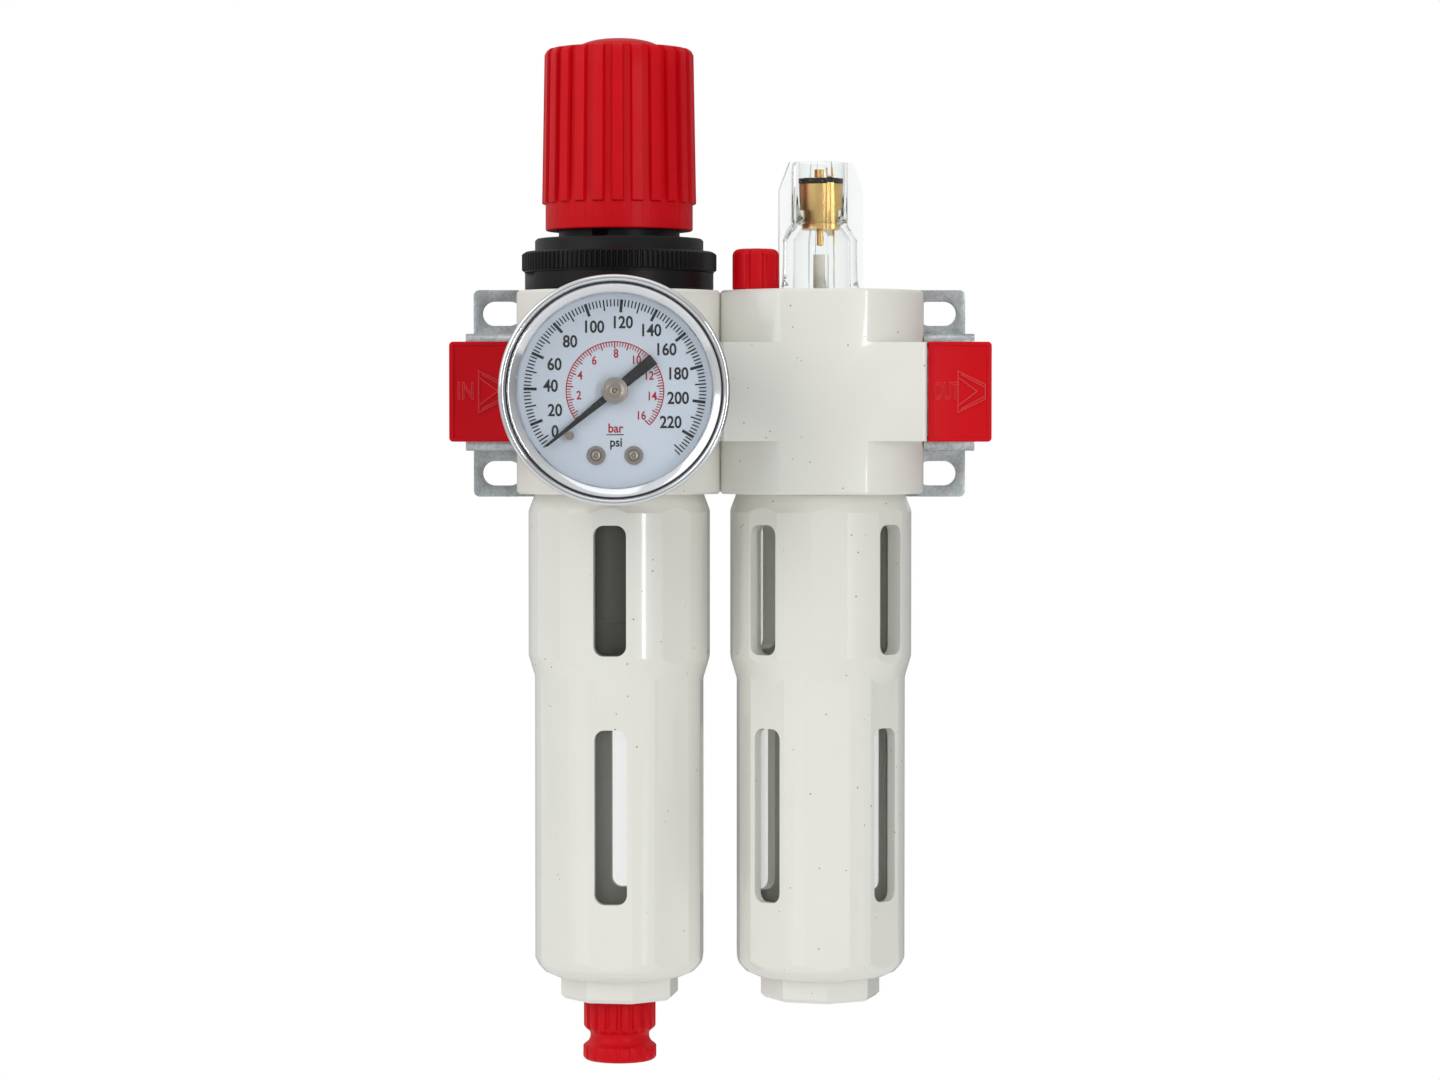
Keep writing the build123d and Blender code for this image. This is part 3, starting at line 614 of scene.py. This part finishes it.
def drain_knob():
    """Ribbed knob with a waist above its flange."""
    z1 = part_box("drain_knob")[1].z / MM
    profile = [(0.0, z1 - 9.8, 0), (3.02, z1 - 9.8, 0), (3.02, z1, 0), (6.6, z1, 0)]
    profile += [(6.95, z1 - 0.1, 0.1), (7.15, z1 - 0.4, 0.5), (7.15, z1 - 5.4, 0.55)]
    profile += [(6.95, z1 - 5.8, 0.4), (6.55, z1 - 6.15, 0.1), (6.1, z1 - 6.5, 0), (5.88, z1 - 6.9, 0)]
    profile += [(5.85, z1 - 7.4, 0), (5.95, z1 - 8.0, 0), (6.2, z1 - 8.5, 0), (6.65, z1 - 8.95, 0)]
    profile += [(7.1, z1 - 9.25, 0.1), (7.28, z1 - 9.5, 0.25), (7.3, z1 - 11.5, 0.25)]
    profile += [(7.1, z1 - 11.95, 0.1), (6.7, z1 - 12.2, 0), (2.2, z1 - 12.2, 0), (1.6, z1 - 11.8, 0)]
    profile += [(1.6, z1 - 10.2, 0), (0.0, z1 - 10.2, 0)]
    turned("drain_grip", "drain_knob", 18, profile, rib_wave(0.5, 0.12), upright(REGULATOR_AXIS), 40.0)


def filler_cap():
    """Plug with a fluted, rounded head."""
    low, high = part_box("filler_plug")
    centre = (low + high) / 2
    top = high.z / MM
    foot = low.z / MM
    profile = [(0.0, foot, 0), (3.0, foot, 0), (3.3, foot + 0.3, 0), (3.3, top - 8.0, 0)]
    profile += [(4.3, top - 8.0, 0), (4.6, top - 7.8, 0.3), (4.6, top - 1.35, 0.45)]
    profile += arc((3.25, top - 1.35), 1.35, 5, 85, 6, 0.3)
    profile += [(2.6, top, 0.0), (0.0, top, 0)]
    turned("filler_cap", "filler_plug", 8, profile, rib_wave(0.6, 0.1), upright(centre), 40.0)


# ---------------------------------------------------------------- gauge print
DIAL_LOW, DIAL_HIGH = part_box("gauge_dial")
GAUGE_AXIS = (DIAL_LOW + DIAL_HIGH) / 2
FACING = Matrix.Rotation(pi / 2, 4, "X")    # stands a plan in XY up, to be read from the front
GAUGE_PLACE = Matrix.Translation((GAUGE_AXIS.x, DIAL_LOW.y, GAUGE_AXIS.z)) @ FACING
PRINT_T = 0.03 * MM
LAYER = 0.012 * MM                 # marks that cross differ in height by this
SWEEP_START = radians(-135.4)
PSI_STEP = radians(1.1638)
PSI_FIRST = 6                      # the scales' first marks, in psi and bar
BAR_FIRST = 0.4
BAR_LAST = 16
BAR_STEP = PSI_STEP * 14.5038


def printed(pieces, name, finish):
    """Join flat print made in the dial's own plane, place it on the dial and let it ride."""
    work = bmesh.new()
    for piece in pieces:
        work.from_mesh(piece.data)
        bpy.data.objects.remove(piece)
    mesh = bpy.data.meshes.new(name)
    work.to_mesh(mesh)
    work.free()
    mesh.transform(GAUGE_PLACE)
    mesh.materials.clear()
    mesh.materials.append(finish)
    piece = add_object(name, mesh)
    settle(piece, "frame", "pointer_black" if finish == INK_BLACK else "red_plastic")
    return piece


def marks(name, finish, level, count, first, step, inner, outer, width):
    """A run of radial marks. Sizes in mm."""
    piece = add_object(name, bpy.data.meshes.new(name))
    return grow(piece, MARKS, Count=count, First=first, Step=step, Inner=inner * MM, Outer=outer * MM,
                Width=width * MM, Thick=2 * PRINT_T + level * LAYER, Finish=finish)


def lettering(text, size, x, y, bold, squeeze=0.9):
    """A word or number as a mesh, centred on x, y in the plane of Z = 0. Sizes in mm."""
    curve = bpy.data.curves.new("text_" + text, "FONT")
    curve.body = text
    curve.size = size * MM
    curve.align_x = "CENTER"
    curve.align_y = "CENTER"
    curve.extrude = PRINT_T
    curve.offset = bold * MM
    curve.resolution_u = 4
    holder = add_object("text_" + text, curve)
    graph = bpy.context.evaluated_depsgraph_get()
    mesh = bpy.data.meshes.new_from_object(holder.evaluated_get(graph))
    bpy.data.objects.remove(holder)
    mesh.transform(Matrix.Translation((x * MM, y * MM, 0)) @ Matrix.Diagonal((squeeze, 1, 1, 1)))
    return add_object("word_" + text, mesh)


def ring_arc(name, radius, width, first, last, steps=72):
    """Thin printed arc in the dial's plane, angles clockwise from +Y. Sizes in mm."""
    work = bmesh.new()
    rows = []
    for i in range(steps + 1):
        angle = first + (last - first) * i / steps
        row = []
        for r, z in ((radius - width / 2, -PRINT_T), (radius + width / 2, -PRINT_T),
                     (radius + width / 2, PRINT_T), (radius - width / 2, PRINT_T)):
            rr = r * MM
            row.append(work.verts.new((rr * sin(angle), rr * cos(angle), z)))
        rows.append(row)
    for a, b in zip(rows, rows[1:]):
        for k in range(4):
            work.faces.new((a[k], a[(k + 1) % 4], b[(k + 1) % 4], b[k]))
    work.faces.new(rows[0])
    work.faces.new(list(reversed(rows[-1])))
    bmesh.ops.recalc_face_normals(work, faces=work.faces)
    mesh = bpy.data.meshes.new(name)
    work.to_mesh(mesh)
    work.free()
    return add_object(name, mesh)


PSI_NUMERALS = {
    0: (-11.3, -7.8), 20: (-11.3, -3.8), 40: (-12.1, 0.8), 60: (-11.4, 4.85), 80: (-8.45, 9.15),
    100: (-4.05, 11.9), 120: (1.35, 12.75), 140: (6.7, 11.25), 160: (9.55, 7.65), 180: (11.8, 3.1),
    200: (11.9, -1.5), 220: (10.5, -6.05),
}
BAR_NUMERALS = {
    2: (-6.8, -0.95), 4: (-6.55, 2.8), 6: (-3.9, 5.6), 8: (0.2, 6.9), 10: (4.0, 5.7), 12: (6.4, 2.75),
    14: (6.95, -1.1), 16: (4.9, -4.75),
}


PSI_OUTER = 17.2
BAR_OUTER = 9.2
UNIT_SIZE = 2.4
UNIT_LINE_RADIUS = 900.0           # so large that its arc is a straight line
UNIT_LINE_HALF = 0.0018
UNIT_LINE_DROP = 8.3


def dial_print():
    """Scales, numbers and unit names, one mesh to each ink."""
    def psi_marks(level, count, every, inner, width):
        first = SWEEP_START + max(every, PSI_FIRST) * PSI_STEP
        return marks("psi_%d" % every, INK_BLACK, level, count, first, every * PSI_STEP,
                     inner, PSI_OUTER, width)

    black = [psi_marks(0, 114, 2, 15.85, 0.25), psi_marks(1, 23, 10, 15.1, 0.28),
             psi_marks(2, 11, 20, 14.75, 0.55)]
    for number, (x, y) in PSI_NUMERALS.items():
        black.append(lettering(str(number), 3.2, x, y, 0.075, 0.86))
    black.append(lettering("psi", UNIT_SIZE, 0.2, -9.8, 0.05))
    black.append(ring_arc("unit_line", UNIT_LINE_RADIUS, 0.18, pi - UNIT_LINE_HALF, pi + UNIT_LINE_HALF, 2))
    black[-1].data.transform(Matrix.Translation((0, (UNIT_LINE_RADIUS - UNIT_LINE_DROP) * MM, 0)))
    printed(black, "dial_print_black", INK_BLACK)
    start = SWEEP_START + BAR_FIRST * BAR_STEP
    red = [
        marks("bar_small", INK_RED, 1, 79, start, BAR_STEP / 5, 8.3, BAR_OUTER, 0.19),
        marks("bar_large", INK_RED, 2, 16, SWEEP_START + BAR_STEP, BAR_STEP, 7.9, BAR_OUTER, 0.24),
        ring_arc("bar_arc", BAR_OUTER, 0.2, start, SWEEP_START + BAR_LAST * BAR_STEP),
    ]
    for number, (x, y) in BAR_NUMERALS.items():
        red.append(lettering(str(number), 2.25, x, y, 0.05, 0.84))
    red.append(lettering("bar", UNIT_SIZE, 0.1, -7.15, 0.05))
    printed(red, "dial_print_red", INK_RED)


RIM_PARTS = 16
DIAL_SCREWS = ((-3.55, -12.2), (3.55, -12.2))


def gauge_metalwork():
    """Rolled rim, inner ring, hub button, dial screws and a thin black ring at the lens's edge, turned about
    the gauge's axis.
    """
    fine = plain_wave(8)
    rim = [(20.36, -4.5, 0), (21.4, -4.5, 0), (21.6, -4.4, 0), (21.7, -4.0, 0), (21.7, 6.0, 0)]
    rim += arc((21.03, 6.8), 0.66, -10, 180, 12)
    rim += [(20.36, 6.0, 0), (20.36, -4.5, 0)]
    turned("rolled_rim", "gauge_bezel", RIM_PARTS, rim, fine, GAUGE_PLACE, 50.0)
    band = [(18.2, 0.06, 0), (19.3, 0.06, 0), (20.29, 1.7, 0), (20.29, 4.3, 0), (20.2, 4.5, 0)]
    band += [(20.05, 4.58, 0), (19.8, 4.5, 0), (19.3, 4.2, 0), (18.8, 3.87, 0), (18.45, 3.6, 0)]
    band += [(18.27, 3.38, 0), (18.21, 3.1, 0), (18.2, 0.06, 0)]
    turned("polished_band", "gauge_inner_ring", RIM_PARTS, band, fine, GAUGE_PLACE, 60.0, RING_STEEL)
    hub = [(0.0, 1.3, 0), (0.75, 1.3, 0), (2.3, 1.3, 0), (2.45, 1.36, 0), (2.5, 1.5, 0), (2.5, 1.95, 0)]
    hub += [(2.4, 2.06, 0), (2.25, 2.1, 0), (1.62, 2.1, 0), (1.5, 2.16, 0), (1.45, 2.34, 0)]
    hub += [(1.3, 2.39, 0), (0.62, 2.39, 0), (0.52, 2.32, 0), (0.3, 1.9, 0), (0.0, 1.85, 0)]
    turned("hub_button", "gauge_pointer_hub", 8, hub, plain_wave(6), GAUGE_PLACE, 40.0)
    head = [(0.0, -2.8, 0), (0.7, -2.8, 0), (0.75, -2.7, 0), (0.75, 0.02, 0), (1.7, 0.02, 0)]
    head += [(1.75, 0.08, 0), (1.75, 0.25, 0), (1.66, 0.34, 0), (1.16, 0.34, 0), (1.08, 0.12, 0)]
    head += [(0.96, 0.12, 0), (0.93, 0.45, 0), (0.84, 0.62, 0), (0.66, 0.72, 0), (0.48, 0.75, 0)]
    head += [(0.4, 0.66, 0), (0.34, 0.4, 0), (0.0, 0.36, 0)]
    spots = tuple(GAUGE_PLACE @ Matrix.Translation((x * MM, y * MM, 0)) for x, y in DIAL_SCREWS)
    turned("dial_screw_heads", "gauge_dial_screws", 8, head, plain_wave(6), spots, 40.0)
    # A thin black ring on the front of the lens, at its edge.
    black_ring = ((20.05, 5.72), (20.35, 5.72), (20.35, 5.85), (20.05, 5.85), (20.05, 5.72))
    outline = [(r * MM, z * MM, 0) for r, z in black_ring]
    edge = add_object("lens_edge_black_ring", sector_mesh("lens_edge_black_ring", RIM_PARTS, outline, fine))
    grow(edge, AROUND, Count=RIM_PARTS, Weld=WELD, Finish=FINISH["rubber_black"])
    edge.data.transform(GAUGE_PLACE)
    close_seams(edge.data, 40.0)
    settle(edge, "frame", "rubber_black")


# ---------------------------------------------------------------- cover marks
LINE = 0.26 * MM
RISE = 0.4 * MM
FIELD_DEPTH = 0.25 * MM            # how far a cover's field is sunk behind its border
COVER_LETTER = 4.7
COVER_WORDS = {"IN": (-2.9, 0.72), "OUT": (-2.7, 0.5)}    # middle, and width against height
COVER_STROKES = (
    ((-0.4, 4.0), (-0.4, -4.0)), ((-0.4, 4.0), (4.9, 1.4)), ((4.9, 1.4), (4.9, -1.4)),
    ((4.9, -1.4), (-0.4, -4.0)), ((-0.1, 2.6), (3.3, 0.1)), ((3.3, 0.1), (-0.1, -2.5)),
    ((0.3, 3.3), (4.6, 1.0)), ((0.3, -3.3), (4.6, -1.0)),
)


def outlined(word, size, x, squeeze):
    """A word drawn as a thin raised outline about the origin's height. Sizes in mm."""
    curve = bpy.data.curves.new("outline_" + word, "FONT")
    curve.body = word
    curve.size = size * MM
    curve.align_x = "CENTER"
    curve.align_y = "CENTER"
    curve.fill_mode = "NONE"
    curve.bevel_depth = LINE / 2
    curve.bevel_resolution = 2
    curve.resolution_u = 4
    holder = add_object("outline_" + word, curve)
    graph = bpy.context.evaluated_depsgraph_get()
    mesh = bpy.data.meshes.new_from_object(holder.evaluated_get(graph))
    bpy.data.objects.remove(holder)
    mesh.transform(Matrix.Translation((x * MM, 0, 0)) @ Matrix.Diagonal((squeeze, 1, 1, 1)))
    return add_object("outline_mesh_" + word, mesh)


def cover_marks(node, word):
    """Raised word and arrow on the front of an end cover."""
    low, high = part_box(node)
    centre = (low + high) / 2
    field = low.y + FIELD_DEPTH
    place = Matrix.Translation((centre.x, field, centre.z)) @ FACING
    work = bmesh.new()
    letters = outlined(word, COVER_LETTER, *COVER_WORDS[word])
    work.from_mesh(letters.data)
    bpy.data.objects.remove(letters)
    for level, (start, end) in enumerate(COVER_STROKES):
        a, b = Vector(start) * MM, Vector(end) * MM
        along = b - a
        turn = Matrix.Rotation(Vector((1, 0)).angle_signed(along) * -1, 4, "Z")
        size = Matrix.Diagonal((along.length + LINE, LINE, RISE + level * LAYER, 1))
        halfway = Matrix.Translation(((a.x + b.x) / 2, (a.y + b.y) / 2, 0))
        bmesh.ops.create_cube(work, size=1.0, matrix=halfway @ turn @ size)
    mesh = bpy.data.meshes.new(node + "_marks")
    work.to_mesh(mesh)
    work.free()
    mesh.transform(place)
    mesh.materials.clear()
    # The marks take the lighter red: painted highlight on their raised lines.
    mesh.materials.append(RED_PAINTED_HIGHLIGHT)
    piece = add_object(node + "_marks", mesh)
    settle(piece, "frame", "red_plastic")


# ---------------------------------------------------------------- CAD pieces that keep their shape
FLAT_EDGE = 9.0                    # the guards' shallow flats meet their rounds at 11 degrees or more
DOME_EDGE = 20.0


def dress():
    """Give every CAD node its finish, and a smooth skin where it is seen."""
    for node, piece in frame["nodes"].items():
        piece.data.materials.clear()
        piece.data.materials.append(FINISH[SLOT_OF[node]])
    bevels = {
        "regulator_body": 0.45 * MM, "lubricator_body": 0.45 * MM,
        "filter_guard": 0.4 * MM, "lubricator_guard": 0.4 * MM,
        "inlet_port_block": 0.3 * MM, "outlet_port_block": 0.3 * MM,
        "inlet_cover": 0.1 * MM, "outlet_cover": 0.1 * MM,
    }
    for node, bevel in bevels.items():
        skin(node, bevel, FLAT_EDGE if node.endswith("guard") else CORNER)
    for node in ("bonnet", "filter_bowl", "lubricator_bowl", "filter_shroud", "air_deflector",
                 "gauge_case", "gauge_socket",
                 "gauge_stop_pin", "gauge_pointer", "gauge_dial",
                 "feed_valve_body", "sight_dome_seals", "feed_needle_screw", "drip_nozzle",
                 "siphon_tube", "siphon_strainer", "filter_bolt", "tie_rod_nuts", "tie_rods",
                 "rear_gauge_plug", "knob_spindle", "drain_stem", "filter_element"):
        skin(node)
    skin("sight_dome", sharp=DOME_EDGE, finish=DOME_CLEAR, merge_flats=False)
    skin("gauge_lens", finish=LENS_CLEAR)


def springs():
    """Smooth skins for the springs, each with a mesh of its own."""
    for node, joint, keep in (("range_spring", "spindle_turn", 0.72), ("valve_spring", "valve_travel", 0.92)):
        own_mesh(skin(node))


# ---------------------------------------------------------------- studio
AIR_ABOVE = 0.5                    # brightness of the air by direction, for light falling on the object
AIR_FRONT = 0.2
AIR_LEFT = 0.4
AIR_ROUND = 0.25
AIR_SEEN = 1.0                     # and as the plain background
FLOOR_GAP = 0.05
FLOOR_EDGES = (-0.45, 0.45, -0.5, 0.15)    # left, right, front, back
LIGHTS_AIM = Vector((0.0, -0.03, -0.03))
LIGHTS = (                         # name, place, size, power
    ("key", (-0.8, -0.68, 0.42), (0.8, 0.8), 2.3),
    ("strip_right", (0.46, -0.8, -0.02), (0.07, 0.8), 2.2),
    ("top", (0.1, -0.3, 0.9), (0.8, 0.5), 0.7),
)
CAMERA_AT = Vector((-4.0, -792.0, -7.2)) * MM
CAMERA_AIM = Vector((0.0, -22.0, -29.3)) * MM
CAMERA_LENS = 96.8


def look_at(made, target):
    """Turn a light or camera to face a point."""
    made.rotation_euler = (target - made.location).to_track_quat("-Z", "Y").to_euler()


def studio():
    """Pale floor, white air and three soft lights."""
    floor_z = Vector(CAD_BOX[0]).z - FLOOR_GAP
    left, right, front, back = FLOOR_EDGES
    mesh = bpy.data.meshes.new("studio_floor")
    mesh.from_pydata([(left, front, floor_z), (right, front, floor_z), (right, back, floor_z),
                      (left, back, floor_z)], [], [(0, 1, 2, 3)])
    floor = add_object("studio_floor", mesh)
    paper = Finish("studio_paper", Roughness=0.9, Specular_IOR_Level=0.1)
    paper.set("Base Color", paper.mix(paper.noise(0.3, 1.0), rgb(250, 250, 250), rgb(247, 247, 247)))
    mesh.materials.append(paper.material)

    world = bpy.data.worlds.new("studio_air")
    world.use_nodes = True
    air = Graph(world.node_tree)
    way = air.node("ShaderNodeTexCoord").outputs["Generated"]
    split = air.node("ShaderNodeSeparateXYZ", None, {"Vector": way})
    upward = Value(air, split.outputs["Z"]).math("MAXIMUM", 0.0)
    forward = (0.0 - Value(air, split.outputs["Y"])).math("MAXIMUM", 0.0)
    leftward = (0.0 - Value(air, split.outputs["X"])).math("MAXIMUM", 0.0)
    ambient = upward * AIR_ABOVE + forward * AIR_FRONT + leftward * AIR_LEFT + AIR_ROUND
    path = air.node("ShaderNodeLightPath")
    seen = Value(air, path.outputs["Is Camera Ray"]).math("MAXIMUM", path.outputs["Is Transmission Ray"])
    air.feed(world.node_tree.nodes["Background"].inputs["Strength"],
             ambient * (1.0 - seen) + seen * AIR_SEEN)
    world.node_tree.nodes["Background"].inputs["Color"].default_value = (1.0, 1.0, 1.0, 1.0)
    scene.world = world

    for name, place, size, power in LIGHTS:
        data = bpy.data.lights.new(name, "AREA")
        data.shape = "RECTANGLE"
        data.size, data.size_y = size
        data.energy = power
        light = add_object(name, data)
        light.location = place
        look_at(light, LIGHTS_AIM)


def camera():
    """Long lens, a little above the middle and square to the front."""
    data = bpy.data.cameras.new("camera")
    data.sensor_width = 36.0
    data.lens = CAMERA_LENS
    data.clip_start = 0.01
    data.clip_end = 20.0
    made = add_object("camera", data)
    made.location = CAMERA_AT
    look_at(made, CAMERA_AIM)
    scene.camera = made


scene.view_settings.view_transform = "Standard"
scene.view_settings.look = "None"
camera()
studio()
dress()
springs()
pressure_knob()
knurled_ring()
drain_knob()
filler_cap()
gauge_metalwork()
dial_print()
cover_marks("inlet_cover", "IN")
cover_marks("outlet_cover", "OUT")
